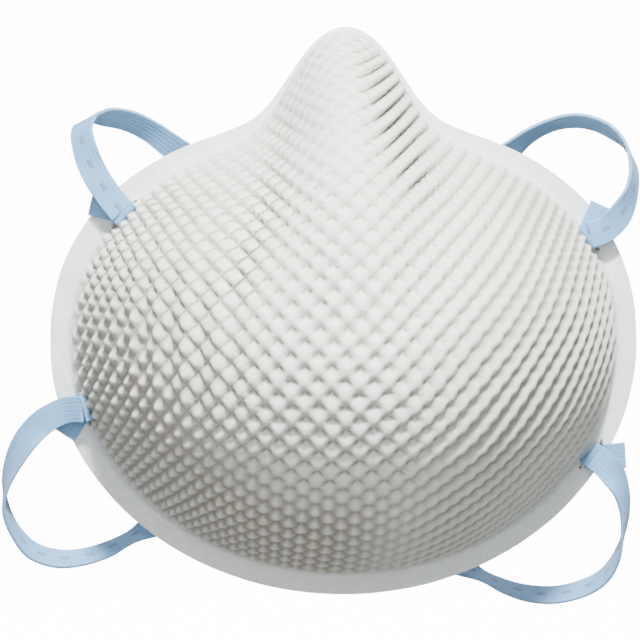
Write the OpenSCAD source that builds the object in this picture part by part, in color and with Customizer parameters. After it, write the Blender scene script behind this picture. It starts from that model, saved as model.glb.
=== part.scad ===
// Moulded cup dust mask with two elastic head straps.
// Frame: +Z up, the front of the cup faces -Y, and the face side is +Y.
// The origin is the middle of the face seal, level with the widest part of the rim.

/* [Cup] */
// Half of the width of the rim
half_width = 71; // [70:0.5:71]
// Height of the rim's shoulders above its widest level
shoulder_rise = 54.5; // [50:0.5:55]
// Drop from the widest level to the chin edge
chin_drop = 60.2; // [56:0.1:61]
// How far the nose peak stands above the shoulders
nose_rise = 22; // [16:0.5:26]
// Angular spread of the nose peak, in degrees
nose_spread = 14.3; // [11:0.1:18]
// Depth of the cup from the flange to its front
cup_depth = 57; // [45:1:62]
// How far the cheeks of the rim sit behind the nose and chin
cheek_set_back = 5; // [4.5:0.1:5.5]
// Size of the rounded corner where the cup meets the flange
foot_round = 3; // [1:0.5:3.5]

/* [Flange] */
// Flange width at the cheeks and chin
flange_w = 6; // [6:0.5:9]
// Flange width at the nose
nose_flange_w = 2; // [2:0.5:4]

/* [Layers] */
// Thickness of the outer netting in the cup
netting_t = 0.8; // [0.5:0.1:1.2]
// Thickness of the cover web in the cup
cover_t = 0.4; // [0.3:0.1:0.8]
// Thickness of the filter media in the cup
filter_t = 0.8; // [0.5:0.1:1.5]
// Thickness of the inner lining in the cup
lining_t = 0.4; // [0.3:0.1:0.8]
// Share of the thickness that is left where the layers are welded
weld_ratio = 0.5; // [0.4:0.05:0.8]

/* [Straps] */
// Width of the flat elastic
strap_w = 6.4; // [5:0.1:6.6]
// Thickness of the flat elastic
strap_t = 0.9; // [0.6:0.1:1]

/* [Staples] */
// Length of a staple's crown
crown_l = 8.4; // [7.8:0.1:10]
// Diameter of the staple wire
wire_d = 0.6; // [0.4:0.1:0.8]

/* [Hidden] */

// ---- Cup surface, in polar form around the origin ----
SECTORS = 60;
SHOULDER_POWER = 2.25;
DOME_ROUNDNESS = 0.75;
CUP_STEPS = [0.14, 0.28, 0.42, 0.55, 0.67, 0.78, 0.87, 0.94, 1.0];
FLANGE_STEPS = [0.35, 1.0];
NOSE_FLANGE_SPREAD = 30;
NORMAL_STEP = 0.2;
RIDGE_WIDENING = 1.8;
DOME_END = 1.5;
// Share of the way to the foot where the layers begin to close up for the weld
WELD_START = 0.85;

function oval(a, rise, power) =
    pow(pow(abs(cos(a)) / half_width, power) + pow(abs(sin(a)) / rise, power), -1 / power);
function nose_bump(a, spread) = exp(-pow((a - 90) / spread, 2));
function edge_r(a) = sin(a) < 0
    ? oval(a, chin_drop, 2)
    : oval(a, shoulder_rise, SHOULDER_POWER) + nose_rise * nose_bump(a, nose_spread);
function flange_width(a) =
    flange_w - (flange_w - nose_flange_w) * nose_bump(a, NOSE_FLANGE_SPREAD);
function foot_r(a) = edge_r(a) - flange_width(a);
// Distance to the foot as the cup at distance r sees it: the nose ridge widens towards the middle.
function ridge_foot_r(a, r) =
    let (low_r = sin(a) < 0 ? oval(a, chin_drop, 2) : oval(a, shoulder_rise, SHOULDER_POWER))
    let (inside = 1 - min(1, r / (low_r - flange_width(a))))
    let (bump = nose_bump(a, nose_spread * (1 + RIDGE_WIDENING * inside)))
    low_r + nose_rise * bump - flange_width(a);
function dome(s) = cup_depth * (1 - DOME_ROUNDNESS * s * s - (1 - DOME_ROUNDNESS) * pow(s, 6));
function rounded_foot(h) = (h + sqrt(h * h + foot_round * foot_round)) / 2;
function polar_angle(x, z) = let (a = atan2(z, x)) a < -90 ? a + 360 : a;
function rim_back(x) = cheek_set_back * pow(x / half_width, 2);
function weld_t() = weld_ratio * (netting_t + cover_t + filter_t + lining_t);

// Front of the cup or flange above the point (x, z).
function front_y(x, z) =
    let (r = norm([x, z]))
    let (s = r / ridge_foot_r(polar_angle(x, z), r))
    rim_back(x) - weld_t() - rounded_foot(dome(min(s, DOME_END)));
function front_point(x, z) = [x, front_y(x, z), z];
function unit(v) = v / norm(v);

// Direction from the front face towards the face side, square to the surface.
function inward(x, z) =
    let (dx = (front_y(x + NORMAL_STEP, z) - front_y(x - NORMAL_STEP, z)) / (2 * NORMAL_STEP))
    let (dz = (front_y(x, z + NORMAL_STEP) - front_y(x, z - NORMAL_STEP)) / (2 * NORMAL_STEP))
    unit([-dx, 1, -dz]);

// Share of the full layer thickness at distance r along direction a.
function squeeze(a, r) =
    let (t = min(1, max(0, (r / foot_r(a) - WELD_START) / (1 - WELD_START))))
    1 - (1 - weld_ratio) * t * t * (3 - 2 * t);

function ring_radii(a) = concat(
    [for (s = CUP_STEPS) s * foot_r(a)],
    [for (f = FLANGE_STEPS) foot_r(a) + f * flange_width(a)]);
function sector_angle(i) = -90 + 360 * i / SECTORS;
function layer_point(a, r, depth) =
    let (x = r * cos(a), z = r * sin(a))
    front_point(x, z) + depth * squeeze(a, r) * inward(x, z);
function layer_face(depth) = concat(
    [layer_point(90, 0, depth)],
    [for (i = [0 : SECTORS - 1]) for (r = ring_radii(sector_angle(i)))
        layer_point(sector_angle(i), r, depth)]);

// A closed sheet of the cup between two depths below its front face.
module layer(depth, thickness) {
    rings = len(CUP_STEPS) + len(FLANGE_STEPS);
    count = 1 + SECTORS * rings;
    function at(i, j) = 1 + (i % SECTORS) * rings + j;
    front_fan = [for (i = [0 : SECTORS - 1]) [0, at(i, 0), at(i + 1, 0)]];
    front_web = [for (i = [0 : SECTORS - 1]) for (j = [0 : rings - 2])
        for (f = [[at(i, j), at(i, j + 1), at(i + 1, j + 1)],
                  [at(i, j), at(i + 1, j + 1), at(i + 1, j)]]) f];
    front = concat(front_fan, front_web);
    back = [for (f = front) [f[0] + count, f[2] + count, f[1] + count]];
    edge = [for (i = [0 : SECTORS - 1])
        for (f = [[at(i, rings - 1), at(i, rings - 1) + count, at(i + 1, rings - 1) + count],
                  [at(i, rings - 1), at(i + 1, rings - 1) + count, at(i + 1, rings - 1)]]) f];
    faces = [for (f = concat(front, back, edge)) [f[0], f[2], f[1]]];
    polyhedron(points = concat(layer_face(depth), layer_face(depth + thickness)), faces = faces);
}

// ---- Straps ----
// Each end of a strap is folded over its own stapled tail, and then loops round the rim.
// FOLD is the x and z of the fold's middle and the direction that the band leaves it in, in degrees.
// TAIL is the direction of the tail below it.
PLY_GAP = 0.7;
STRAP_LIFT = 0.1;
TAIL_L = 9;
TOP_L = 2;
UNDER_L = 2;
FOLD_STEPS = 6;
LOOP_SMOOTHING = 2;
UPPER_LEFT_FOLD = [-52.6, 31.5, 137];
UPPER_LEFT_TAIL = 160;
UPPER_RIGHT_FOLD = [57.9, 25.7, 42];
UPPER_RIGHT_TAIL = 60;
LOWER_LEFT_FOLD = [-62, -14.6, 196];
LOWER_LEFT_TAIL = 228;
LOWER_RIGHT_FOLD = [59.3, -26.4, -39];
LOWER_RIGHT_TAIL = -5;

// A loop's points are x, y, z and the lean: the share of the band's width that lies in the plane of the
// rim, positive where the rear edge would be the outer one. What is left of the width runs front to back.
UPPER_LEFT_LOOP = [
    [-56.6, -2, 36.1, 1],
    [-60.2, -2, 41.8, 1],
    [-62.5, -1, 47.7, 0.9],
    [-63.1, 2, 52.3, 0.6],
    [-60.9, 5.5, 54.7, -0.1],
    [-57, 8, 54.9, -0.65],
    [-51.8, 10, 53.9, -0.8],
    [-46.7, 11.5, 51.4, -0.85],
    [-42, 12, 48, -0.95]
];
UPPER_RIGHT_LOOP = [
    [62.7, -1, 28, 1],
    [66.2, -1, 31.4, 0.95],
    [69, 0.5, 36.5, 0.6],
    [69.9, 2.5, 42.4, 0.35],
    [68.2, 5, 48, 0],
    [64.7, 7.5, 51.4, -0.35],
    [59.9, 9, 53.5, -0.45],
    [55, 10.5, 53.8, -0.5],
    [50, 11.5, 52.5, -0.5],
    [45.3, 12, 50, -0.6],
    [41, 12, 46.5, -0.8]
];
LOWER_LEFT_LOOP = [
    [-67.5, 0, -15.4, 1],
    [-72.6, 0, -18, 1],
    [-77, 0.5, -22.6, 0.9],
    [-80.2, 2, -28.3, 0.6],
    [-82, 3.5, -34, 0.2],
    [-82, 5, -39.5, -0.15],
    [-79.8, 7, -45.3, -0.3],
    [-75.8, 8.5, -50.2, -0.5],
    [-69.8, 10, -52.5, -0.55],
    [-63.5, 11, -52.3, -0.5],
    [-57.2, 12, -50.5, -0.45],
    [-51.5, 12, -47.5, -0.35]
];
LOWER_RIGHT_LOOP = [
    [63.6, -1, -29.9, 1],
    [66.8, -0.5, -35.1, 0.7],
    [68.1, 1, -41.1, 0.4],
    [67.7, 2.5, -47.6, 0.15],
    [66.3, 4.5, -53, -0.1],
    [63.5, 6.5, -57.5, -0.3],
    [59, 8.5, -60.5, -0.45],
    [52.5, 10, -62.3, -0.5],
    [46, 11.5, -62.2, -0.5],
    [40, 12, -60.5, -0.4],
    [34.5, 12, -57.8, -0.3]
];
// A back band's points are its place and the direction across its width there.
UPPER_BACK_ROUTE = [
    [[-38, 13.5, 45.3], [-0.5, 0.2, -0.75]],
    [[-34, 16.5, 43.5], [-0.25, 0.1, -0.95]],
    [[-29, 21.5, 42.5], [-0.1, 0, -1]],
    [[-23, 27, 41.5], [-0.05, 0, -1]],
    [[-15, 31.5, 41], [0, 0, -1]],
    [[-5, 34, 40.5], [0, 0, -1]],
    [[5, 34, 40.5], [0, 0, -1]],
    [[15, 31.5, 41], [0, 0, -1]],
    [[23, 27, 41.5], [0.05, 0, -1]],
    [[29, 21.5, 42.5], [0.1, 0, -1]],
    [[34, 16.5, 43.5], [0.25, 0.1, -0.95]],
    [[38, 13.5, 44.5], [0.45, 0.4, -0.75]]
];
LOWER_BACK_ROUTE = [
    [[-47, 12.6, -45.2], [-0.45, 0.6, 0.65]],
    [[-42, 14, -43.4], [-0.35, 0.15, 0.92]],
    [[-36, 18.5, -42.6], [-0.12, 0, 1]],
    [[-29, 25.2, -43], [-0.05, 0, 1]],
    [[-20, 32, -45], [0, 0, 1]],
    [[-10, 34.5, -47], [0.1, 0, 1]],
    [[0, 34, -49], [0.15, 0, 1]],
    [[9, 31, -51], [0.2, 0, 1]],
    [[16.5, 26, -52.3], [0.2, 0, 0.98]],
    [[22, 20, -53.2], [0.28, 0.03, 0.96]],
    [[26.5, 15.2, -54.2], [0.36, 0.3, 0.88]],
    [[30.5, 12.8, -55.8], [0.32, 0.7, 0.6]]
];

function compass(angle) = [cos(angle), 0, sin(angle)];
// Middle of the tail's ply above the point (x, z).
function ply_point(x, z) = [x, front_y(x, z) - strap_t / 2 - STRAP_LIFT, z];
function fold_base(fold) = ply_point(fold[0], fold[1]);
function ply_step() = strap_t + PLY_GAP;
// Where the band leaves the fold, above its tail.
function fold_exit(fold) =
    fold_base(fold) - [0, ply_step(), 0] + (TOP_L - ply_step() / 2) * compass(fold[2]);
function end_route(fold, tail) =
    let (base = fold_base(fold), leave = compass(fold[2]), across = compass(fold[2] + 90))
    let (tip = base + TAIL_L * compass(tail), radius = ply_step() / 2)
    concat(
        [[ply_point(tip[0], tip[2]), compass(tail + 90)]],
        [[ply_point(base[0] + UNDER_L * leave[0], base[2] + UNDER_L * leave[2]), across]],
        [for (k = [0 : FOLD_STEPS]) let (turn = 180 * k / FOLD_STEPS)
            [base + (radius - radius * sin(turn)) * leave - [0, radius - radius * cos(turn), 0], across]],
        [[fold_exit(fold), across]]);
// The direction across the band at each loop point; side is which way the loop turns.
function loop_route(fold, loop, side) =
    let (points = concat([fold_exit(fold)], [for (p = loop) [p[0], p[1], p[2]]]))
    [for (i = [0 : len(points) - 1])
        let (lean = i == 0 ? 1 : loop[i - 1][3], along = run_direction(points, i))
        let (outward = unit([along[2], 0, -along[0]]) * side)
        [points[i], lean * outward + [0, sqrt(1 - lean * lean), 0]]];
// Corners of a band's section, as shares of its half width and half thickness.
BAND_CORNERS = [[1, 0.4], [0.93, 1], [-0.93, 1], [-1, 0.4], [-1, -0.4], [-0.93, -1],
                [0.93, -1], [1, -0.4]];

function curve_part(p, i, t) =
    let (a = p[max(0, i - 1)], b = p[i], c = p[i + 1], d = p[min(len(p) - 1, i + 2)])
    (2 * b + (c - a) * t + (2 * a - 5 * b + 4 * c - d) * t * t
        + (3 * b - a - 3 * c + d) * t * t * t) / 2;
function smooth_curve(p, steps) = concat(
    [for (i = [0 : len(p) - 2]) for (k = [0 : steps - 1]) curve_part(p, i, k / steps)],
    [p[len(p) - 1]]);
function run_direction(p, i) = unit(p[min(len(p) - 1, i + 1)] - p[max(0, i - 1)]);
function square_to(v, along) = unit(v - (v * along) * along);
function band_ring(centre, along, across) =
    let (w = square_to(across, along), n = cross(along, w))
    [for (c = BAND_CORNERS) centre + c[0] * strap_w / 2 * w + c[1] * strap_t / 2 * n];

// A flat band swept along a route.
module band(route, smoothing) {
    line = smooth_curve([for (r = route) r[0]], smoothing);
    across = smooth_curve([for (r = route) r[1]], smoothing);
    sides = len(BAND_CORNERS);
    last = len(line) - 1;
    function at(i, k) = i * sides + k % sides;
    points = [for (i = [0 : last]) each band_ring(line[i], run_direction(line, i), across[i])];
    walls = [for (i = [0 : last - 1]) for (k = [0 : sides - 1])
        for (f = [[at(i, k), at(i, k + 1), at(i + 1, k + 1)],
                  [at(i, k), at(i + 1, k + 1), at(i + 1, k)]]) f];
    start_cap = [for (k = [1 : sides - 2]) [at(0, 0), at(0, k + 1), at(0, k)]];
    end_cap = [for (k = [1 : sides - 2]) [at(last, 0), at(last, k), at(last, k + 1)]];
    faces = [for (f = concat(walls, start_cap, end_cap)) [f[0], f[2], f[1]]];
    polyhedron(points = points, faces = faces);
}

// ---- Staples ----
CROWN_GAP = 0.05;
CLENCH_GAP = 0.4;
CLENCH_SHARE = 0.85;
CROWN_SET_BACK = 0.6;
WIRE_SIDES = 16;

// A wire staple: a crown over the tail at the fold, and two legs through the flange, clenched behind it.
module staple(fold) {
    spot = fold_base(fold) + CROWN_SET_BACK * compass(fold[2]);
    crown_y = ply_point(spot[0], spot[2])[1] - (strap_t + wire_d) / 2 - CROWN_GAP;
    leg_l = wire_d + CROWN_GAP + strap_t + STRAP_LIFT + weld_t() + CLENCH_GAP;
    reach = crown_l / 2;
    translate([spot[0], crown_y, spot[2]]) rotate([0, 90 - fold[2], 0]) {
        rotate([0, 90, 0]) cylinder(h = crown_l, d = wire_d, center = true, $fn = WIRE_SIDES);
        for (side = [-1, 1]) translate([side * reach, 0, 0]) {
            sphere(d = wire_d, $fn = WIRE_SIDES);
            rotate([-90, 0, 0]) cylinder(h = leg_l, d = wire_d, $fn = WIRE_SIDES);
            translate([0, leg_l, 0]) sphere(d = wire_d, $fn = WIRE_SIDES);
            translate([0, leg_l, 0]) rotate([0, -side * 90, 0])
                cylinder(h = reach * CLENCH_SHARE, d = wire_d, $fn = WIRE_SIDES);
        }
    }
}

module outer_mesh_shell() { color("white") layer(0, netting_t); }
module outer_cover_web() { color("whitesmoke") layer(netting_t, cover_t); }
module filter_media() { color("ivory") layer(netting_t + cover_t, filter_t); }
module inner_lining() { color("snow") layer(netting_t + cover_t + filter_t, lining_t); }
module upper_left_stapled_end() {
    color("lightsteelblue") band(end_route(UPPER_LEFT_FOLD, UPPER_LEFT_TAIL), 1);
}
module upper_right_stapled_end() {
    color("lightsteelblue") band(end_route(UPPER_RIGHT_FOLD, UPPER_RIGHT_TAIL), 1);
}
module lower_left_stapled_end() {
    color("lightsteelblue") band(end_route(LOWER_LEFT_FOLD, LOWER_LEFT_TAIL), 1);
}
module lower_right_stapled_end() {
    color("lightsteelblue") band(end_route(LOWER_RIGHT_FOLD, LOWER_RIGHT_TAIL), 1);
}
module upper_strap_left_loop() {
    color("lightsteelblue") band(loop_route(UPPER_LEFT_FOLD, UPPER_LEFT_LOOP, -1), LOOP_SMOOTHING);
}
module upper_strap_right_loop() {
    color("lightsteelblue") band(loop_route(UPPER_RIGHT_FOLD, UPPER_RIGHT_LOOP, 1), LOOP_SMOOTHING);
}
module upper_strap_back_band() { color("lightsteelblue") band(UPPER_BACK_ROUTE, LOOP_SMOOTHING); }
module lower_strap_left_loop() {
    color("lightsteelblue") band(loop_route(LOWER_LEFT_FOLD, LOWER_LEFT_LOOP, 1), LOOP_SMOOTHING);
}
module lower_strap_right_loop() {
    color("lightsteelblue") band(loop_route(LOWER_RIGHT_FOLD, LOWER_RIGHT_LOOP, -1), LOOP_SMOOTHING);
}
module lower_strap_back_band() { color("lightsteelblue") band(LOWER_BACK_ROUTE, LOOP_SMOOTHING); }
module staple_upper_left() { color("darkgoldenrod") staple(UPPER_LEFT_FOLD); }
module staple_upper_right() { color("darkgoldenrod") staple(UPPER_RIGHT_FOLD); }
module staple_lower_left() { color("darkgoldenrod") staple(LOWER_LEFT_FOLD); }
module staple_lower_right() { color("darkgoldenrod") staple(LOWER_RIGHT_FOLD); }

outer_mesh_shell();
outer_cover_web();
filter_media();
inner_lining();
upper_left_stapled_end();
upper_right_stapled_end();
lower_left_stapled_end();
lower_right_stapled_end();
upper_strap_left_loop();
upper_strap_right_loop();
upper_strap_back_band();
lower_strap_left_loop();
lower_strap_right_loop();
lower_strap_back_band();
staple_upper_left();
staple_upper_right();
staple_lower_left();
staple_lower_right();
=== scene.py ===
"""Disposable dust mask: a moulded cup with netting, a welded flange and two stapled elastic straps."""
import math

import bpy
import numpy as np
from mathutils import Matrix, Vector


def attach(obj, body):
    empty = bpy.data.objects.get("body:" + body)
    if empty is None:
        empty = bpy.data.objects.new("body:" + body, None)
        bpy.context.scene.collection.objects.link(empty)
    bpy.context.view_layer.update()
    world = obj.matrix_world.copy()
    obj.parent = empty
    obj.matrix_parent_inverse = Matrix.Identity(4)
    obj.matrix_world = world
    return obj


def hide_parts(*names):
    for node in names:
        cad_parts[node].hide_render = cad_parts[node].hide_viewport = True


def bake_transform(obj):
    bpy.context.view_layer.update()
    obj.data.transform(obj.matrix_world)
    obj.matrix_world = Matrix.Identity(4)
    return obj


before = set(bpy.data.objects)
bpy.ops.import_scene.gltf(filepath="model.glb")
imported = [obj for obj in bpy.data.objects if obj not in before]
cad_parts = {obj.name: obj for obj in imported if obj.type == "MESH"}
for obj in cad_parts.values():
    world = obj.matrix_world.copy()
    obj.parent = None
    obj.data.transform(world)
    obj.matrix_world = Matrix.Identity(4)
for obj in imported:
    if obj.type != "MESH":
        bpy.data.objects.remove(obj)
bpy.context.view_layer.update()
MM = 0.001

# ---- Cup surface, the same formula as the CAD model, in millimetres ----
HALF_WIDTH, SHOULDER_RISE, CHIN_DROP = 71.0, 54.5, 60.2
NOSE_RISE, NOSE_SPREAD = 22.0, 14.3
CUP_DEPTH, CHEEK_SET_BACK, FOOT_ROUND = 57.0, 5.0, 3.0
FLANGE_W, NOSE_FLANGE_W, NOSE_FLANGE_SPREAD = 6.0, 2.0, 30.0
SHOULDER_POWER, DOME_ROUNDNESS, RIDGE_WIDENING = 2.25, 0.75, 1.8
NETTING_T, COVER_T, FILTER_T, LINING_T, WELD_RATIO = 0.8, 0.4, 0.8, 0.4, 0.5
WELD_START, DOME_END = 0.85, 1.5
STRAP_W, STRAP_T, STRAP_LIFT = 6.4, 0.9, 0.1
TOTAL_T = NETTING_T + COVER_T + FILTER_T + LINING_T


def nose_bump(angle, spread):
    return np.exp(-((np.degrees(angle) - 90) / spread) ** 2)


def oval(angle, rise, power):
    x = np.abs(np.cos(angle)) / HALF_WIDTH
    z = np.abs(np.sin(angle)) / rise
    return (x ** power + z ** power) ** (-1 / power)


def edge_r(angle):
    upper = oval(angle, SHOULDER_RISE, SHOULDER_POWER) + NOSE_RISE * nose_bump(angle, NOSE_SPREAD)
    return np.where(np.sin(angle) < 0, oval(angle, CHIN_DROP, 2), upper)


def flange_width(angle):
    return FLANGE_W - (FLANGE_W - NOSE_FLANGE_W) * nose_bump(angle, NOSE_FLANGE_SPREAD)


def foot_r(angle):
    return edge_r(angle) - flange_width(angle)


def ridge_foot_r(angle, r):
    """Distance to the foot as the cup at distance r sees it: the nose ridge widens towards the middle."""
    low = np.where(np.sin(angle) < 0, oval(angle, CHIN_DROP, 2), oval(angle, SHOULDER_RISE, SHOULDER_POWER))
    inside = 1 - np.minimum(1, r / (low - flange_width(angle)))
    bump = nose_bump(angle, NOSE_SPREAD * (1 + RIDGE_WIDENING * inside))
    return low + NOSE_RISE * bump - flange_width(angle)


def polar(x, z):
    angle = np.arctan2(z, x)
    angle = np.where(angle < -math.pi / 2, angle + 2 * math.pi, angle)
    return angle, np.hypot(x, z)


def front_y(x, z):
    """Front of the cup or flange above the point (x, z)."""
    angle, r = polar(x, z)
    s = np.minimum(r / ridge_foot_r(angle, r), DOME_END)
    h = CUP_DEPTH * (1 - DOME_ROUNDNESS * s ** 2 - (1 - DOME_ROUNDNESS) * s ** 6)
    rim = CHEEK_SET_BACK * (x / HALF_WIDTH) ** 2
    return rim - WELD_RATIO * TOTAL_T - (h + np.sqrt(h * h + FOOT_ROUND ** 2)) / 2


def inward(x, z, step=0.2):
    """Unit direction from the front towards the face side, square to the surface."""
    dx = (front_y(x + step, z) - front_y(x - step, z)) / (2 * step)
    dz = (front_y(x, z + step) - front_y(x, z - step)) / (2 * step)
    n = np.stack([-dx, np.ones_like(dx), -dz], axis=-1)
    return n / np.linalg.norm(n, axis=-1, keepdims=True)


def smoothstep(low, high, value):
    t = np.clip((value - low) / (high - low), 0, 1)
    return t * t * (3 - 2 * t)


# ---- Camera and light ----
def look_at(obj, target):
    """Turns a camera or lamp, which look along their own -Z, to face the target."""
    obj.rotation_euler = (Vector(target) - obj.location).to_track_quat("-Z", "Y").to_euler()


AIM = (-0.0072, -0.020, 0.0076)
VIEW_AZIMUTH, VIEW_ELEVATION, VIEW_DISTANCE, FRAME_WIDTH = -3.0, 4.0, 0.85, 0.1504
SENSOR_WIDTH = 36.0
# Each area light: its name, its place and its side in metres, and its watts
LIGHTS = [
    ("key", (0.03, -0.58, 0.79), 0.13, 36.0),
    ("fill", (-0.3, -1.1, 0.4), 0.8, 7.0),
    ("low", (0.25, -0.71, -0.21), 0.12, 9.0),
    ("back", (0.1, 0.8, 0.7), 0.8, 5.0),
]
WORLD_STRENGTH = 0.40


def add_camera():
    az, el = math.radians(VIEW_AZIMUTH), math.radians(VIEW_ELEVATION)
    cam = bpy.data.objects.new("camera", bpy.data.cameras.new("camera"))
    bpy.context.scene.collection.objects.link(cam)
    away = Vector((math.sin(az) * math.cos(el), -math.cos(az) * math.cos(el), math.sin(el)))
    cam.location = Vector(AIM) + away * VIEW_DISTANCE
    cam.data.sensor_width = SENSOR_WIDTH
    cam.data.lens = SENSOR_WIDTH * VIEW_DISTANCE / FRAME_WIDTH
    look_at(cam, AIM)
    bpy.context.scene.camera = cam


def add_light(name, place, size, watts):
    lamp = bpy.data.lights.new(name, "AREA")
    lamp.size = size
    lamp.energy = watts
    obj = bpy.data.objects.new(name, lamp)
    obj.location = place
    look_at(obj, (0, 0, 0))
    bpy.context.scene.collection.objects.link(obj)


add_camera()
for light in LIGHTS:
    add_light(*light)
world = bpy.data.worlds.new("studio")
bpy.context.scene.world = world
world.use_nodes = True
world.node_tree.nodes["Background"].inputs["Color"].default_value = (1, 1, 1, 1)
world.node_tree.nodes["Background"].inputs["Strength"].default_value = WORLD_STRENGTH


# ---- Materials ----
class Shader:
    """A node material with short calls for the nodes that every surface here uses."""

    def __init__(self, name):
        self.material = bpy.data.materials.new(name)
        self.material.use_nodes = True
        self.nodes = self.material.node_tree.nodes
        self.links = self.material.node_tree.links
        self.bsdf = self.nodes["Principled BSDF"]
        self.place = self.nodes.new("ShaderNodeTexCoord").outputs["Object"]

    def link(self, source, target):
        self.links.new(source, target)

    def scaled(self, x, y, z, source=None):
        node = self.nodes.new("ShaderNodeMapping")
        node.inputs["Scale"].default_value = (x, y, z)
        self.link(source or self.place, node.inputs["Vector"])
        return node.outputs["Vector"]

    def noise(self, scale, detail=3.0, rough=0.5, vector=None, distort=0.0):
        node = self.nodes.new("ShaderNodeTexNoise")
        node.inputs["Scale"].default_value = scale
        node.inputs["Detail"].default_value = detail
        node.inputs["Roughness"].default_value = rough
        node.inputs["Distortion"].default_value = distort
        self.link(vector or self.place, node.inputs["Vector"])
        return node.outputs["Fac"]

    def ramp(self, fac, stops):
        node = self.nodes.new("ShaderNodeValToRGB")
        while len(node.color_ramp.elements) < len(stops):
            node.color_ramp.elements.new(0.5)
        for element, (position, colour) in zip(node.color_ramp.elements, stops):
            element.position = position
            element.color = (*colour, 1)
        self.link(fac, node.inputs["Fac"])
        return node.outputs["Color"]

    def math(self, operation, a, b):
        node = self.nodes.new("ShaderNodeMath")
        node.operation = operation
        for socket, value in zip(node.inputs, (a, b)):
            if isinstance(value, (int, float)):
                socket.default_value = value
            else:
                self.link(value, socket)
        return node.outputs["Value"]

    def mix(self, fac, a, b, blend="MIX"):
        node = self.nodes.new("ShaderNodeMix")
        node.data_type = "RGBA"
        node.blend_type = blend
        for key, value in (("Factor", fac), ("A", a), ("B", b)):
            socket = [s for s in node.inputs if s.name == key and s.enabled][0]
            if isinstance(value, (int, float)):
                socket.default_value = value
            elif isinstance(value, tuple):
                socket.default_value = (*value, 1)
            else:
                self.link(value, socket)
        return [s for s in node.outputs if s.enabled][0]

    def attribute(self, name):
        node = self.nodes.new("ShaderNodeAttribute")
        node.attribute_name = name
        return node.outputs["Fac"]

    def bump(self, height, strength, distance, under=None):
        node = self.nodes.new("ShaderNodeBump")
        node.inputs["Strength"].default_value = strength
        node.inputs["Distance"].default_value = distance
        self.link(height, node.inputs["Height"])
        if under is not None:
            self.link(under, node.inputs["Normal"])
        return node.outputs["Normal"]

    def finish(self, colour, normal, roughness=0.6, sheen=0.0, metallic=0.0):
        self.link(colour, self.bsdf.inputs["Base Color"])
        self.link(normal, self.bsdf.inputs["Normal"])
        if isinstance(roughness, float):
            self.bsdf.inputs["Roughness"].default_value = roughness
        else:
            self.link(roughness, self.bsdf.inputs["Roughness"])
        self.bsdf.inputs["Sheen Weight"].default_value = sheen
        self.bsdf.inputs["Metallic"].default_value = metallic
        return self.material


# Where one scale's shares of its pitch fall: the crest of its arc, the crest of a cord or dot, and the ends
# of the shaded line along its upper edge, which runs on a little way over the step of the next scale.
ARC_START, CREST = 0.25, 0.42
LINE_START, LINE_END = 0.78, 0.1
# Share of the painted groove shade that the dots lose
DOT_SOFTNESS = 0.2


def raised_cosine(sh, phase, start):
    """0 at the start of each pitch and 1 half a pitch on."""
    turn = sh.math("MULTIPLY", sh.math("SUBTRACT", phase, start), 2 * math.pi)
    return sh.math("SUBTRACT", 0.5, sh.math("MULTIPLY", sh.math("COSINE", turn, 0.0), 0.5))


# Painted shade for the grooves; the line along each scale's upper edge is a painted shadow cast by the scale
# above
def netting_shade(sh):
    """1 in the shaded grooves beside the scales, cords and dots, 0 elsewhere."""
    parts = [sh.math("FRACT", sh.attribute(name), 0.0) for name in ("net_first", "net_second")]
    lines = []
    for part, other, floor in zip(parts, reversed(parts), ("first_floor", "second_floor")):
        near_top = sh.math("MULTIPLY", sh.math("SUBTRACT", part, LINE_START), 1 / (1 - LINE_START))
        past_step = sh.math("MULTIPLY", sh.math("SUBTRACT", LINE_END, part), 1 / LINE_END)
        line = sh.math("MAXIMUM", sh.math("MAXIMUM", near_top, past_step), 0.0)
        arc = raised_cosine(sh, other, ARC_START)
        lines.append(sh.math("MULTIPLY", line, sh.math("MAXIMUM", arc, sh.attribute(floor))))
    shade = sh.math("MAXIMUM", sh.math("MULTIPLY", lines[0], sh.attribute("net_share")), lines[1])
    softened = sh.math("MULTIPLY", sh.attribute("first_valley"), DOT_SOFTNESS)
    softer_on_dots = sh.math("SUBTRACT", 1.0, softened)
    shade = sh.math("MULTIPLY", shade, softer_on_dots)
    for part, share in zip(parts, ("first_valley", "second_valley")):
        valley = raised_cosine(sh, part, CREST)
        valley = sh.math("MULTIPLY", valley, sh.math("MULTIPLY", sh.attribute(share), softer_on_dots))
        shade = sh.math("MAXIMUM", shade, valley)
    return sh.math("MULTIPLY", shade, sh.attribute("net_gain"))


# The two groove colours are painted shade, darkest at the floor of a groove
SCALE_WHITE, GROOVE_SIDE_PAINTED_SHADE, GROOVE_FLOOR_PAINTED_SHADE = (0.90, 0.915, 0.85), (0.62, 0.605, 0.53), (0.24, 0.22, 0.165)
FLANGE_WHITE = (0.87, 0.91, 0.905)


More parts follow.
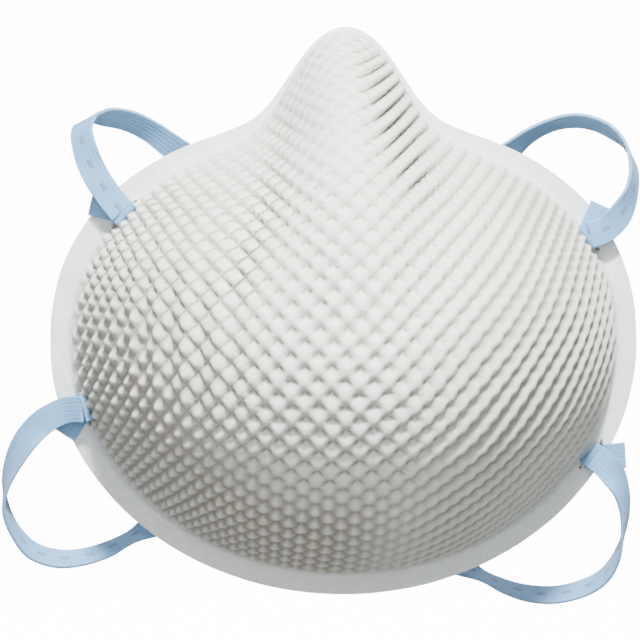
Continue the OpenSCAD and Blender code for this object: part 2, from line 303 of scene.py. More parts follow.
def netting_material():
    """Moulded white netting: bright scales, grooves darkened with warm painted shade, fine fibres, cooler and
    plain on the flange.
    """
    sh = Shader("netting_white")
    grooves = netting_shade(sh)
    patches = sh.noise(28, 3, 0.6)
    # Painted shade: the groove mask darkens the scale white towards the groove colours
    scales = sh.ramp(grooves, [(0.0, SCALE_WHITE), (0.45, GROOVE_SIDE_PAINTED_SHADE), (1.0, GROOVE_FLOOR_PAINTED_SHADE)])
    strands = sh.mix(sh.attribute("net_fade"), FLANGE_WHITE, scales)
    tint = sh.ramp(patches, [(0.3, (0.95, 0.96, 0.97)), (0.7, (1.0, 1.0, 0.985))])
    fibre = sh.noise(900, 4, 0.65, sh.scaled(1, 1, 1), 1.2)
    fleck = sh.ramp(fibre, [(0.35, (0.88, 0.88, 0.88)), (0.62, (1, 1, 1))])
    colour = sh.mix(1.0, sh.mix(1.0, strands, tint, "MULTIPLY"), fleck, "MULTIPLY")
    cut = sh.bump(sh.math("SUBTRACT", 1.0, grooves), 0.4, 0.0004)
    coarse = sh.bump(sh.noise(420, 3, 0.6), 0.45, 0.0004, cut)
    fine = sh.bump(fibre, 0.5, 0.0002, coarse)
    rough = sh.math("ADD", sh.math("MULTIPLY", patches, 0.2), 0.5)
    return sh.finish(colour, fine, rough, sheen=0.15)


def web_material(name, light, dark, fibre_scale):
    """Nonwoven web: soft fibres in two directions, with slight clouding."""
    sh = Shader(name)
    cloud = sh.noise(60, 4, 0.6)
    along = sh.noise(fibre_scale, 4, 0.7, sh.scaled(1, 1, 0.25), 1.5)
    across = sh.noise(fibre_scale, 4, 0.7, sh.scaled(0.25, 1, 1), 1.5)
    fibres = sh.math("MAXIMUM", along, across)
    base = sh.ramp(fibres, [(0.45, dark), (0.68, light)])
    clouds = sh.ramp(cloud, [(0.3, (0.95, 0.95, 0.95)), (0.7, (1, 1, 1))])
    normal = sh.bump(fibres, 0.5, 0.0002, sh.bump(cloud, 0.15, 0.0005))
    rough = sh.math("ADD", sh.math("MULTIPLY", fibres, 0.2), 0.65)
    return sh.finish(sh.mix(1.0, base, clouds, "MULTIPLY"), normal, rough, sheen=0.25)


def wave(sh, coordinate, period):
    """A smooth 0 to 1 wave of a coordinate that is in metres."""
    sine = sh.math("SINE", sh.math("MULTIPLY", coordinate, 2 * math.pi / period), 0.0)
    return sh.math("ADD", sh.math("MULTIPLY", sine, 0.5), 0.5)


# Along and across the elastic, in metres: the ribs, the cross threads, and the dashes of the grey row
RIB_PITCH, THREAD_PITCH, DASH_PITCH, ROW_HALF_WIDTH = 0.00064, 0.00055, 0.0062, 0.0006
DASH_CUT, DASH_STRENGTH = 0.72, 0.55


def elastic_material():
    """Pale blue flat elastic: lengthwise ribs, cross weave, and a sparse row of plain grey dashes."""
    sh = Shader("elastic_blue")
    along, side = sh.attribute("along"), sh.attribute("side")
    ribs = wave(sh, side, RIB_PITCH)
    picks = wave(sh, along, THREAD_PITCH)
    weave = sh.math("MULTIPLY", ribs, picks)
    cloud = sh.noise(90, 3, 0.6)
    thread = sh.ramp(weave, [(0.0, (0.16, 0.355, 0.61)), (1.0, (0.22, 0.43, 0.71))])
    clouds = sh.ramp(cloud, [(0.3, (0.90, 0.92, 0.95)), (0.7, (1, 1, 1))])
    base = sh.mix(1.0, thread, clouds, "MULTIPLY")
    dash = sh.math("GREATER_THAN", wave(sh, along, DASH_PITCH), DASH_CUT)
    row = sh.math("LESS_THAN", sh.math("ABSOLUTE", side, 0.0), ROW_HALF_WIDTH)
    front = sh.math("GREATER_THAN", sh.attribute("front"), 0.5)
    mark = sh.math("MULTIPLY", sh.math("MULTIPLY", dash, row), front)
    mark = sh.math("MULTIPLY", mark, DASH_STRENGTH)
    colour = sh.mix(mark, base, (0.10, 0.14, 0.20))
    normal = sh.bump(weave, 0.3, 0.00008, sh.bump(sh.noise(1500, 2), 0.3, 0.0001))
    rough = sh.math("ADD", sh.math("MULTIPLY", weave, -0.12), 0.62)
    return sh.finish(colour, normal, rough, sheen=0.2)


def wire_material():
    """Dark bronze staple wire with worn bright spots."""
    sh = Shader("staple_wire")
    wear = sh.noise(700, 3, 0.6)
    dark, bronze, bright = (0.10, 0.075, 0.05), (0.28, 0.22, 0.16), (0.55, 0.5, 0.45)
    colour = sh.ramp(wear, [(0.35, dark), (0.6, bronze), (0.75, bright)])
    normal = sh.bump(sh.noise(2500, 2, 0.5, sh.scaled(1, 1, 0.2)), 0.25, 0.00005)
    rough = sh.math("ADD", sh.math("MULTIPLY", wear, 0.25), 0.22)
    return sh.finish(colour, normal, rough, metallic=1.0)


BACKDROP_GLOW = 14.0


def backdrop_material():
    """Pale sweep that glows, so that it stays even and white behind the mask."""
    sh = Shader("pale_backdrop")
    colour = sh.ramp(sh.noise(3, 2), [(0.3, (0.90, 0.90, 0.90)), (0.7, (0.93, 0.93, 0.93))])
    sh.bsdf.inputs["Emission Color"].default_value = (1, 1, 1, 1)
    sh.bsdf.inputs["Emission Strength"].default_value = BACKDROP_GLOW
    return sh.finish(colour, sh.bump(sh.noise(40, 2), 0.05, 0.001), 0.9)


# ---- Mesh helpers ----
def make_object(name, points, faces, material):
    """A smooth-shaded mesh object, in metres."""
    mesh = bpy.data.meshes.new(name)
    mesh.from_pydata([tuple(p) for p in points], [], [tuple(f) for f in faces])
    mesh.update()
    mesh.materials.append(material)
    mesh.polygons.foreach_set("use_smooth", [True] * len(mesh.polygons))
    obj = bpy.data.objects.new(name, mesh)
    bpy.context.scene.collection.objects.link(obj)
    return obj


def add_attribute(obj, name, values):
    layer = obj.data.attributes.new(name, "FLOAT", "POINT")
    layer.data.foreach_set("value", np.asarray(values, dtype=np.float32))


def disc_grid(n):
    """A square grid folded evenly onto a disc: angle and radius from 0 to 1 of every point."""
    side = np.linspace(-1, 1, n + 1)
    a, b = np.meshgrid(side, side, indexing="ij")
    radius = np.maximum(np.abs(a), np.abs(b))
    safe_a, safe_b = np.where(a == 0, 1e-9, a), np.where(b == 0, 1e-9, b)
    wide = np.abs(a) >= np.abs(b)
    angle = np.where(wide, math.pi / 4 * b / safe_a + np.where(a < 0, math.pi, 0),
                     math.pi / 2 - math.pi / 4 * a / safe_b + np.where(b < 0, math.pi, 0))
    angle = np.mod(angle + math.pi / 2, 2 * math.pi) - math.pi / 2
    return angle.ravel(), radius.ravel()


def grid_faces(n, flip=False):
    """Quads of the square grid; flip turns them to face the other way."""
    i, j = np.meshgrid(np.arange(n), np.arange(n), indexing="ij")
    at = lambda p, q: (p * (n + 1) + q).ravel()
    quad = [at(i, j), at(i + 1, j), at(i + 1, j + 1), at(i, j + 1)]
    return np.stack(quad[::-1] if flip else quad, axis=-1)


def rim_loop(n):
    """Point numbers round the edge of the square grid, in order."""
    run = np.arange(n)
    return np.concatenate([run * (n + 1), n * (n + 1) + run, (n - run) * (n + 1) + n, n - run])


def rim_quads(loop, below):
    """Quads from the edge of one sheet to the points below it."""
    return np.stack([loop, np.roll(loop, -1), np.roll(below, -1), below], axis=-1)


RING_CROWDING = 0.38


def spread_radius(radius):
    """Moves rings outwards so that the steep flank and the flange keep their share of points."""
    return 1 - (1 - radius) * ((1 - RING_CROWDING) + RING_CROWDING * (1 - radius))


def cup_points(n):
    """Plan places of a grid of points over the cup and flange, with their angle and distance."""
    angle, radius = disc_grid(n)
    r = spread_radius(radius) * edge_r(angle)
    return r * np.cos(angle), r * np.sin(angle), angle, r


def squeeze(angle, r):
    """Share of a layer's thickness that is left at a point: the layers close up for the weld."""
    return 1 - (1 - WELD_RATIO) * smoothstep(WELD_START, 1.0, r / foot_r(angle))


# ---- Netting relief ----
LATTICE_STEP = 0.25
PITCH_X, PITCH_Z = 6.2, 5.85
RELIEF_HEIGHT, RELIEF_ABOVE = 1.8, 0.75
LEAST_NETTING = 0.06
CREST_SHARPNESS = 1.1
# A scale rises steeply over the first share of its pitch, then falls by this depth along this curve.
RISE_SHARE, FALL_DEPTH, FALL_POWER = 0.2, 0.85, 1.6
WAVE_SEED, WAVE_COUNT, WAVE_DIVISOR = 7, 7, 4
LATTICE_X, LATTICE_Z = (-74, 74), (-64, 80)


def arc_coordinates():
    """Arc length across and up the cup on a fine plan grid, so the netting keeps its size on the flanks."""
    xs = np.arange(LATTICE_X[0], LATTICE_X[1] + LATTICE_STEP, LATTICE_STEP)
    zs = np.arange(LATTICE_Z[0], LATTICE_Z[1] + LATTICE_STEP, LATTICE_STEP)
    gx, gz = np.meshgrid(xs, zs, indexing="ij")
    y = front_y(gx, gz)
    across = np.sqrt(1 + np.gradient(y, LATTICE_STEP, axis=0) ** 2) * LATTICE_STEP
    up = np.sqrt(1 + np.gradient(y, LATTICE_STEP, axis=1) ** 2) * LATTICE_STEP
    u, v = np.cumsum(across, axis=0), np.cumsum(up, axis=1)
    u -= u[np.argmin(np.abs(xs))][None, :]
    v -= v[:, np.argmin(np.abs(zs))][:, None]
    return xs, zs, u, v


def sample(xs, zs, table, x, z):
    """Values of a table on the plan grid at the points (x, z), evened out between its points."""
    fx = np.clip((x - xs[0]) / LATTICE_STEP, 0, len(xs) - 1.001)
    fz = np.clip((z - zs[0]) / LATTICE_STEP, 0, len(zs) - 1.001)
    i, j = fx.astype(int), fz.astype(int)
    tx, tz = fx - i, fz - j
    low = table[i, j] * (1 - tx) + table[i + 1, j] * tx
    high = table[i, j + 1] * (1 - tx) + table[i + 1, j + 1] * tx
    return low * (1 - tz) + high * tz


def soft_waves(x, z, size, seed):
    """Smooth seeded unevenness from a few crossing waves, about -1 to 1."""
    rng = np.random.default_rng(seed)
    total = np.zeros_like(x)
    for _ in range(WAVE_COUNT):
        direction, phase = rng.uniform(0, 2 * math.pi, 2)
        length = size * rng.uniform(0.7, 1.6)
        total += np.sin((x * math.cos(direction) + z * math.sin(direction)) * 2 * math.pi / length + phase)
    return total / WAVE_DIVISOR


def scale_depth(phase):
    """Depth across one scale: a short steep rise from its lower edge, then a long fall to its upper edge."""
    part = phase - np.floor(phase)
    return 1 - smoothstep(0, RISE_SHARE, part) * (1 - FALL_DEPTH * part ** FALL_POWER)


def arc_weight(phase, floor):
    """How deep a groove is along its length: deepest beside the top corner of a scale."""
    return np.maximum(0.5 - 0.5 * np.cos(2 * math.pi * (phase - ARC_START)), floor)


def window(value, opens, closes):
    """1 between two soft edges and 0 outside them; each edge is where it starts and where it ends."""
    return smoothstep(*opens, value) * (1 - smoothstep(*closes, value))


def outside(x, z, centre, edge):
    """0 around a place and 1 beyond the soft edge."""
    return smoothstep(*edge, np.hypot(x - centre[0], z - centre[1]))


def beside_line(x, z, line):
    """1 on a slanting line, fading to 0 on both sides; a line is a point, a unit normal and an offset."""
    (px, pz), (nx, nz), offset = line
    return np.exp(-(((x - px) * nx + (z - pz) * nz - offset) / LINE_WIDTH) ** 2)


# The right side of the nose, where the steps are, and the left side of its ridge, where the crease is
STEPS_LINE = ((4, 66), (0.946, 0.323), 1)
CREASE_LINE = ((-15.6, 49), (0.945, -0.327), 0)
LINE_WIDTH = 5
LATTICE_WAVES = ((0.4, 22), (0.45, 19))
CORD_WOBBLE, CORD_SLANT = 0.05, 0.35
# Strength of the relief and its painted groove shade near the middle, what calm skin and cords take away, and
# what creases and steps add
GAIN_INSIDE, CALM_LOSS, CORD_LOSS, CREASE_GAIN, STEP_GAIN = 0.8, 0.6, 0.25, 0.35, 0.3
# What the right cheek and the steps take from the falling grooves
FALLING_LOSS_RIGHT, FALLING_LOSS_STEPS = 0.55, 0.6
# How deep each family of grooves stays between the arcs, by kind of netting
FIRST_FLOOR = {"everywhere": 0.25, "left": 0.65, "crease": 0.5}
SECOND_FLOOR = {"everywhere": 0.3, "left": 0.6, "right": 0.5, "crease": 0.5, "steps": 0.6}


def groove_floor(weights, shares):
    return np.minimum(sum(weight * shares[kind] for kind, weight in weights.items()), 1)


def net_fields(x, z, angle, r):
    """The two lattice phases, and the shares that turn the front's scales into dots, cords and steps."""
    xs, zs, u_table, v_table = arc_coordinates()
    u, v = sample(xs, zs, u_table, x, z), sample(xs, zs, v_table, x, z)
    (u_height, u_size), (v_height, v_size) = LATTICE_WAVES
    u = u + u_height * soft_waves(x, z, u_size, WAVE_SEED)
    v = v + v_height * soft_waves(x, z, v_size, WAVE_SEED + 1)
    left, right = 1 - smoothstep(-45, -12, x), smoothstep(-8, 30, x)
    fade = 1 - smoothstep(-1.2, 1.6, r - foot_r(angle))
    calm = smoothstep(34, 48, z) * (1 - smoothstep(-4, 6, x))
    steps = beside_line(x, z, STEPS_LINE) * window(z, (30, 46), (66, 73))
    crease = beside_line(x, z, CREASE_LINE) * window(z, (6, 20), (50, 62))
    outward = outside(x, z, (-6, 14), (22, 56))
    cords = smoothstep(8, 44, x - CORD_SLANT * z)
    dots = outside(x, z, (-4, 10), (30, 52)) * (1 - smoothstep(-6, 24, x)) * (1 - smoothstep(0, 26, z))
    shares = {"everywhere": 1, "left": left, "right": right, "crease": crease, "steps": steps}
    gain = (GAIN_INSIDE + (1 - GAIN_INSIDE) * outward) * (1 - CALM_LOSS * calm) * (1 - CORD_LOSS * cords)
    first, second = u / PITCH_X + v / PITCH_Z, v / PITCH_Z - u / PITCH_X
    return {
        "net_first": first,
        "net_second": second + CORD_WOBBLE * right * np.sin(2 * math.pi * first),
        "net_fade": fade,
        "net_gain": fade * (gain + CREASE_GAIN * crease + STEP_GAIN * steps),
        "net_share": (1 - FALLING_LOSS_RIGHT * right) * (1 - FALLING_LOSS_STEPS * steps),
        "first_floor": groove_floor(FIRST_FLOOR, shares),
        "second_floor": groove_floor(SECOND_FLOOR, shares),
        "first_valley": dots,
        "second_valley": np.maximum(cords, dots),
    }


def groove_depth(phase, valley):
    """Depth across one scale where valley is 0, and across one narrow-crested cord or dot where it is 1."""
    cord = 1 - (0.5 + 0.5 * np.cos(2 * math.pi * (phase - CREST))) ** CREST_SHARPNESS
    return scale_depth(phase) * (1 - valley) + cord * valley


# Unevenness of the relief's strength, and what the dots and the chin take from it
STRENGTH_WAVES, DOT_LOSS, CHIN_LOSS = 0.1, 0.1, 0.35


def relief_height(x, z, fields):
    """Netting height: 0 on top of a scale, and about -1 at the bottom of a groove."""
    first, second = fields["net_first"], fields["net_second"]
    rising = groove_depth(second, fields["second_valley"]) * arc_weight(first, fields["second_floor"])
    falling = groove_depth(first, fields["first_valley"]) * arc_weight(second, fields["first_floor"])
    falling = falling * fields["net_share"]
    strength = fields["net_gain"] + STRENGTH_WAVES * soft_waves(x, z, 30, WAVE_SEED + 2)
    strength = strength * (1 - DOT_LOSS * fields["first_valley"]) * (1 - CHIN_LOSS * smoothstep(32, 50, -z))
    return ((1 - falling) * (1 - rising) - 1) * strength * fields["net_fade"]


FLANK_WAVE_HEIGHT, FLANK_WAVE_LENGTH = 0.45, 9.3


def flank_waves(x, z, first, second):
    """Shallow upright folds that the moulding leaves on the left cheek."""
    across = (first - second) / 2 * PITCH_X
    share = window(x, (-62, -50), (-32, -20)) * np.exp(-((z - 3) / 24) ** 2)
    return FLANK_WAVE_HEIGHT * share * np.sin(2 * math.pi * across / FLANK_WAVE_LENGTH)


NETTING_CELLS = 312
FLANGE_UNEVENNESS, FLANGE_WAVE_SIZE = 0.18, 13


def place_on_mask(obj, node):
    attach(obj, "mask")
    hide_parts(node)


def build_netting(material):
    """The front sheet with its netting, and the rounded outer edge of the flange."""
    x, z, angle, r = cup_points(NETTING_CELLS)
    fields = net_fields(x, z, angle, r)
    n = inward(x, z)
    base = np.stack([x, front_y(x, z), z], axis=-1)
    uneven = FLANGE_UNEVENNESS * soft_waves(x, z, FLANGE_WAVE_SIZE, WAVE_SEED + 3)
    uneven = uneven * smoothstep(0.9, 1.05, r / foot_r(angle))
    rise = RELIEF_HEIGHT * (relief_height(x, z, fields) + RELIEF_ABOVE * fields["net_fade"]) + uneven
    rise = rise + flank_waves(x, z, fields["net_first"], fields["net_second"])
    rise = np.maximum(rise, LEAST_NETTING - NETTING_T * squeeze(angle, r))
    points = base - n * rise[:, None]
    loop = rim_loop(NETTING_CELLS)
    wall = base[loop] + n[loop] * NETTING_T * WELD_RATIO
    rim = rim_quads(loop, len(points) + np.arange(len(loop)))
    faces = np.concatenate([grid_faces(NETTING_CELLS, flip=True), rim])
    obj = make_object("netting_shell", np.concatenate([points, wall]) * MM, faces.tolist(), material)
    for name, values in fields.items():
        add_attribute(obj, name, np.concatenate([values, values[loop]]))
    place_on_mask(obj, "outer_mesh_shell")


def build_layer(name, node, top, bottom, cells, material, print_through=0.0):
    """A closed sheet of the cup between two depths, with a trace of the netting on its face side."""
    x, z, angle, r = cup_points(cells)
    n = inward(x, z)
    q = squeeze(angle, r)[:, None]
    base = np.stack([x, front_y(x, z), z], axis=-1)
    trace = 0.0
    if print_through:
        trace = print_through * relief_height(x, z, net_fields(x, z, angle, r))[:, None]
    front, back = base + n * top * q, base + n * (bottom * q - trace)
    loop, count = rim_loop(cells), len(front)
    rim = rim_quads(loop, count + loop)
    faces = np.concatenate([grid_faces(cells, flip=True), grid_faces(cells) + count, rim])
    obj = make_object(name, np.concatenate([front, back]) * MM, faces.tolist(), material)
    place_on_mask(obj, node)


# ---- Straps: routes in millimetres ----
# Each end is folded over its own stapled tail. A fold is the x and z of its middle, and the direction in
# degrees that the band leaves it in. A tail is the direction of the ply below.
PLY_GAP, TAIL_L, TOP_L, FOLD_STEPS = 0.7, 9.0, 2.0, 6
UPPER_LEFT_FOLD, UPPER_LEFT_TAIL = (-52.6, 31.5, 137), 160
UPPER_RIGHT_FOLD, UPPER_RIGHT_TAIL = (57.9, 25.7, 42), 60
LOWER_LEFT_FOLD, LOWER_LEFT_TAIL = (-62, -14.6, 196), 228
LOWER_RIGHT_FOLD, LOWER_RIGHT_TAIL = (59.3, -26.4, -39), -5
# A loop's points are x, y, z and the lean: the share of the band's width in the plane of the rim.
# A back band's points are its place and the direction across its width there.
UPPER_LEFT_LOOP = [
    (-56.6, -2, 36.1, 1),
    (-60.2, -2, 41.8, 1),
    (-62.5, -1, 47.7, 0.9),
    (-63.1, 2, 52.3, 0.6),
    (-60.9, 5.5, 54.7, -0.1),
    (-57, 8, 54.9, -0.65),
    (-51.8, 10, 53.9, -0.8),
    (-46.7, 11.5, 51.4, -0.85),
    (-42, 12, 48, -0.95),
]
UPPER_RIGHT_LOOP = [
    (62.7, -1, 28, 1),
    (66.2, -1, 31.4, 0.95),
    (69, 0.5, 36.5, 0.6),
    (69.9, 2.5, 42.4, 0.35),
    (68.2, 5, 48, 0),
    (64.7, 7.5, 51.4, -0.35),
    (59.9, 9, 53.5, -0.45),
    (55, 10.5, 53.8, -0.5),
    (50, 11.5, 52.5, -0.5),
    (45.3, 12, 50, -0.6),
    (41, 12, 46.5, -0.8),
]
LOWER_LEFT_LOOP = [
    (-67.5, 0, -15.4, 1),
    (-72.6, 0, -18, 1),
    (-77, 0.5, -22.6, 0.9),
    (-80.2, 2, -28.3, 0.6),
    (-82, 3.5, -34, 0.2),
    (-82, 5, -39.5, -0.15),
    (-79.8, 7, -45.3, -0.3),
    (-75.8, 8.5, -50.2, -0.5),
    (-69.8, 10, -52.5, -0.55),
    (-63.5, 11, -52.3, -0.5),
    (-57.2, 12, -50.5, -0.45),
    (-51.5, 12, -47.5, -0.35),
]
LOWER_RIGHT_LOOP = [
    (63.6, -1, -29.9, 1),
    (66.8, -0.5, -35.1, 0.7),
    (68.1, 1, -41.1, 0.4),
    (67.7, 2.5, -47.6, 0.15),
    (66.3, 4.5, -53, -0.1),
    (63.5, 6.5, -57.5, -0.3),
    (59, 8.5, -60.5, -0.45),
    (52.5, 10, -62.3, -0.5),
    (46, 11.5, -62.2, -0.5),
    (40, 12, -60.5, -0.4),
    (34.5, 12, -57.8, -0.3),
]
UPPER_BACK_ROUTE = [
    ((-38, 13.5, 45.3), (-0.5, 0.2, -0.75)),
    ((-34, 16.5, 43.5), (-0.25, 0.1, -0.95)),
    ((-29, 21.5, 42.5), (-0.1, 0, -1)),
    ((-23, 27, 41.5), (-0.05, 0, -1)),
    ((-15, 31.5, 41), (0, 0, -1)),
    ((-5, 34, 40.5), (0, 0, -1)),
    ((5, 34, 40.5), (0, 0, -1)),
    ((15, 31.5, 41), (0, 0, -1)),
    ((23, 27, 41.5), (0.05, 0, -1)),
    ((29, 21.5, 42.5), (0.1, 0, -1)),
    ((34, 16.5, 43.5), (0.25, 0.1, -0.95)),
    ((38, 13.5, 44.5), (0.45, 0.4, -0.75)),
]
LOWER_BACK_ROUTE = [
    ((-47, 12.6, -45.2), (-0.45, 0.6, 0.65)),
    ((-42, 14, -43.4), (-0.35, 0.15, 0.92)),
    ((-36, 18.5, -42.6), (-0.12, 0, 1)),
    ((-29, 25.2, -43), (-0.05, 0, 1)),
    ((-20, 32, -45), (0, 0, 1)),
    ((-10, 34.5, -47), (0.1, 0, 1)),
    ((0, 34, -49), (0.15, 0, 1)),
    ((9, 31, -51), (0.2, 0, 1)),
    ((16.5, 26, -52.3), (0.2, 0, 0.98)),
    ((22, 20, -53.2), (0.28, 0.03, 0.96)),
    ((26.5, 15.2, -54.2), (0.36, 0.3, 0.88)),
    ((30.5, 12.8, -55.8), (0.32, 0.7, 0.6)),
]


def compass(angle):
    """Unit direction in the plane of the rim, in degrees from +X towards +Z."""
    return np.array([math.cos(math.radians(angle)), 0, math.sin(math.radians(angle))])


def ply_point(x, z):
    """Middle of the tail's ply on the flange above the point (x, z)."""
    y = float(front_y(np.array(float(x)), np.array(float(z))))
    return np.array([x, y - STRAP_T / 2 - STRAP_LIFT, z])


def fold_exit(fold):
    """Where the band leaves the fold, above its tail."""
    ply_step = STRAP_T + PLY_GAP
    return ply_point(fold[0], fold[1]) - (0, ply_step, 0) + (TOP_L - ply_step / 2) * compass(fold[2])


def end_route(fold, tail):
    """Places and across directions from the tail's cut end, round the fold, to where the band leaves it."""
    base, leave, across = ply_point(fold[0], fold[1]), compass(fold[2]), compass(fold[2] + 90)
    flat, radius = base + TAIL_L * compass(tail), (STRAP_T + PLY_GAP) / 2
    places = [ply_point(flat[0], flat[2]), ply_point(base[0] + 2 * leave[0], base[2] + 2 * leave[2])]
    for k in range(FOLD_STEPS + 1):
        turn = math.pi * k / FOLD_STEPS
        places.append(base + radius * (1 - math.sin(turn)) * leave - (0, radius * (1 - math.cos(turn)), 0))
    places.append(fold_exit(fold))
    return np.array(places), np.array([compass(tail + 90)] + [across] * (len(places) - 1))


def loop_route(fold, loop, side):
    """Places and across directions of a loop; side is which way it turns."""
    points = np.array([fold_exit(fold)] + [row[:3] for row in loop])
    lean = np.array([1.0] + [row[3] for row in loop])[:, None]
    along = np.vstack([points[1] - points[0], points[2:] - points[:-2], points[-1] - points[-2]])
    outward = side * np.stack([along[:, 2], 0 * along[:, 0], -along[:, 0]], axis=-1)
    outward /= np.linalg.norm(outward, axis=1, keepdims=True)
    return points, lean * outward + np.sqrt(1 - lean ** 2) * np.array([0, 1, 0])


def joined_route(left, back, right):
    """One band from where it leaves its left fold to its right one."""
    back = (np.array([p for p, _ in back], float), np.array([w for _, w in back], float))
    return tuple(np.vstack([left[k], back[k], right[k][::-1]]) for k in (0, 1))


def smooth_curve(p, steps):
    """Catmull-Rom curve through the points."""
    padded = np.vstack([p[0], p, p[-1]])
    t = (np.arange(steps) / steps)[:, None]
    runs = []
    for a, b, c, d in zip(padded, padded[1:], padded[2:], padded[3:]):
        runs.append((2 * b + (c - a) * t + (2 * a - 5 * b + 4 * c - d) * t ** 2
                     + (3 * b - a - 3 * c + d) * t ** 3) / 2)
    return np.vstack(runs + [p[-1:]])


def even_steps(points, across, step):
    """The same curve with rings a fixed distance apart."""
    s = np.concatenate([[0], np.cumsum(np.linalg.norm(np.diff(points, axis=0), axis=1))])
    at = np.linspace(0, s[-1], int(s[-1] / step) + 1)
    take = lambda table: np.stack([np.interp(at, s, table[:, k]) for k in range(3)], axis=-1)
    return take(points), take(across), at


# Share of the half width where the rounded edge starts, depth of a rib, and points along it and the edge
FLAT_SHARE, RIB_DEPTH, RIB_POINTS, EDGE_POINTS = 0.94, 0.07, 4, 5


def band_section(ribs):
    """Outline of the band, in shares of half width and half thickness, with shallow ribs on both faces."""
    run = np.linspace(-FLAT_SHARE, FLAT_SHARE, ribs * RIB_POINTS + 1)
    face = 1 - RIB_DEPTH + RIB_DEPTH * np.cos((run / FLAT_SHARE + 1) * ribs * math.pi)
    edge = np.linspace(-math.pi / 2, math.pi / 2, EDGE_POINTS)[1:-1]
    bulge = FLAT_SHARE + (1 - FLAT_SHARE) * np.cos(edge)
    right = np.stack([bulge, np.sin(edge)], axis=-1)
    top = np.stack([run[::-1], face[::-1]], axis=-1)
    left = np.stack([-bulge, -np.sin(edge)], axis=-1)
    bottom = np.stack([run, -face], axis=-1)
    return np.vstack([bottom, right, top, left])


STRAP_STEP, FOLD_STEP = 0.6, 0.25
STRAP_RIBS = 6
CURVE_STEPS = 12
# Points of the section above this share of the half thickness are on the printed face
PRINTED_ABOVE = 0.3


def build_band(name, points, across, step, material):
    """A ribbed flat band along a route; also gives its centre line, in metres, and its length."""
    points, across = smooth_curve(points, CURVE_STEPS), smooth_curve(across, CURVE_STEPS)
    points, across, at = even_steps(points, across, step)
    along = np.gradient(points, axis=0)
    along /= np.linalg.norm(along, axis=1, keepdims=True)
    across -= np.sum(across * along, axis=1, keepdims=True) * along
    across /= np.linalg.norm(across, axis=1, keepdims=True)
    face = np.cross(along, across)
    section = band_section(STRAP_RIBS)
    sides = len(section)
    rings = (points[:, None, :] + section[None, :, :1] * STRAP_W / 2 * across[:, None, :]
             + section[None, :, 1:] * STRAP_T / 2 * face[:, None, :])
    i, k = np.meshgrid(np.arange(len(points) - 1), np.arange(sides), indexing="ij")
    ring = lambda p, q: (p * sides + q % sides).ravel()
    walls = np.stack([ring(i, k), ring(i + 1, k), ring(i + 1, k + 1), ring(i, k + 1)], axis=-1).tolist()
    last = (len(points) - 1) * sides
    caps = [list(range(sides)), [last + q for q in range(sides)][::-1]]
    obj = make_object(name, rings.reshape(-1, 3) * MM, walls + caps, material)
    add_attribute(obj, "along", np.repeat(at * MM, sides))
    add_attribute(obj, "side", np.tile(section[:, 0] * STRAP_W / 2 * MM, len(points)))
    add_attribute(obj, "front", np.tile((section[:, 1] > PRINTED_ABOVE).astype(float), len(points)))
    return obj, points * MM, at[-1] * MM


def build_strap(name, left, back, right):
    """One strap from fold to fold."""
    points, across = joined_route(left, back, right)
    obj, line, length = build_band(name, points, across, STRAP_STEP, elastic)
    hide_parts(name + "_left_loop", name + "_back_band", name + "_right_loop")
    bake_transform(obj)


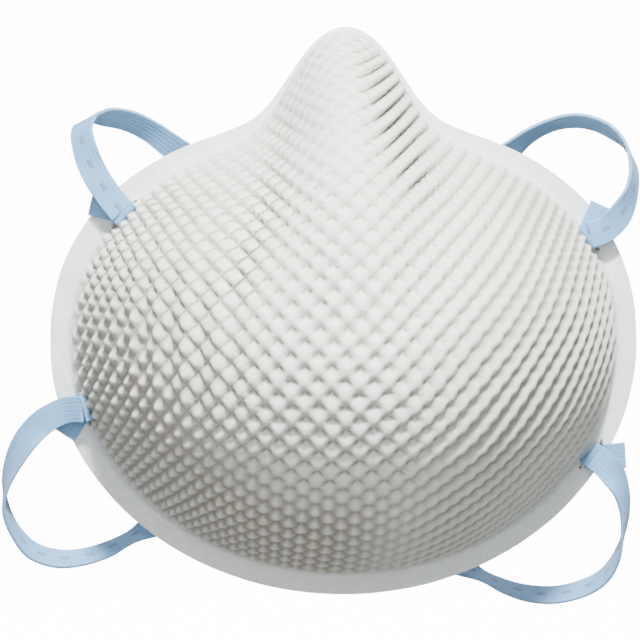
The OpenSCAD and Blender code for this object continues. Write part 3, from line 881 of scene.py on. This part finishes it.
elastic = elastic_material()
build_strap("upper_strap", loop_route(UPPER_LEFT_FOLD, UPPER_LEFT_LOOP, -1), UPPER_BACK_ROUTE,
            loop_route(UPPER_RIGHT_FOLD, UPPER_RIGHT_LOOP, 1))
build_strap("lower_strap", loop_route(LOWER_LEFT_FOLD, LOWER_LEFT_LOOP, 1), LOWER_BACK_ROUTE,
            loop_route(LOWER_RIGHT_FOLD, LOWER_RIGHT_LOOP, -1))
for corner, fold, tail in (("upper_left", UPPER_LEFT_FOLD, UPPER_LEFT_TAIL),
                           ("upper_right", UPPER_RIGHT_FOLD, UPPER_RIGHT_TAIL),
                           ("lower_left", LOWER_LEFT_FOLD, LOWER_LEFT_TAIL),
                           ("lower_right", LOWER_RIGHT_FOLD, LOWER_RIGHT_TAIL)):
    end, _, _ = build_band(corner + "_fold", *end_route(fold, tail), FOLD_STEP, elastic)
    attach(end, "mask")
    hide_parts(corner + "_stapled_end")

# ---- Cup ----
LAYER_CELLS, LINING_CELLS = 100, 200
LINING_TRACE = 0.22
build_netting(netting_material())
web = web_material("cover_web", (0.84, 0.85, 0.84), (0.70, 0.71, 0.70), 700)
felt = web_material("filter_felt", (0.86, 0.86, 0.83), (0.72, 0.71, 0.67), 500)
lining = web_material("inner_web", (0.86, 0.865, 0.86), (0.74, 0.745, 0.74), 900)
build_layer("cover_web", "outer_cover_web", NETTING_T, NETTING_T + COVER_T, LAYER_CELLS, web)
build_layer("filter_felt", "filter_media", NETTING_T + COVER_T,
            NETTING_T + COVER_T + FILTER_T, LAYER_CELLS, felt)
build_layer("lining", "inner_lining", NETTING_T + COVER_T + FILTER_T, TOTAL_T,
            LINING_CELLS, lining, LINING_TRACE)

# ---- Staples keep their CAD shape ----
wire = wire_material()
for staple in ("staple_upper_left", "staple_upper_right", "staple_lower_left", "staple_lower_right"):
    for material_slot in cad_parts[staple].material_slots:
        material_slot.material = wire

# ---- Floor and backdrop: one pale sweep ----
FLOOR_Z, WALL_Y, SWEEP_R = -0.16, 2.4, 0.4
SWEEP_FRONT, SWEEP_TOP, SWEEP_HALF_WIDTH = -2.5, 3.5, 4
BEND_STEPS = 9


def build_sweep():
    """A floor that curves up into a wall, out of the light's way."""
    turn = [math.pi / 2 * k / BEND_STEPS for k in range(BEND_STEPS + 1)]
    bend = [(WALL_Y - SWEEP_R + SWEEP_R * math.sin(t), FLOOR_Z + SWEEP_R - SWEEP_R * math.cos(t))
            for t in turn]
    profile = [(SWEEP_FRONT, FLOOR_Z)] + bend + [(WALL_Y, SWEEP_TOP)]
    points = [(x, y, z) for y, z in profile for x in (-SWEEP_HALF_WIDTH, SWEEP_HALF_WIDTH)]
    faces = [(2 * k, 2 * k + 1, 2 * k + 3, 2 * k + 2) for k in range(len(profile) - 1)]
    sweep = make_object("sweep", points, faces, backdrop_material())
    sweep.visible_diffuse = False
    sweep.visible_glossy = False


build_sweep()
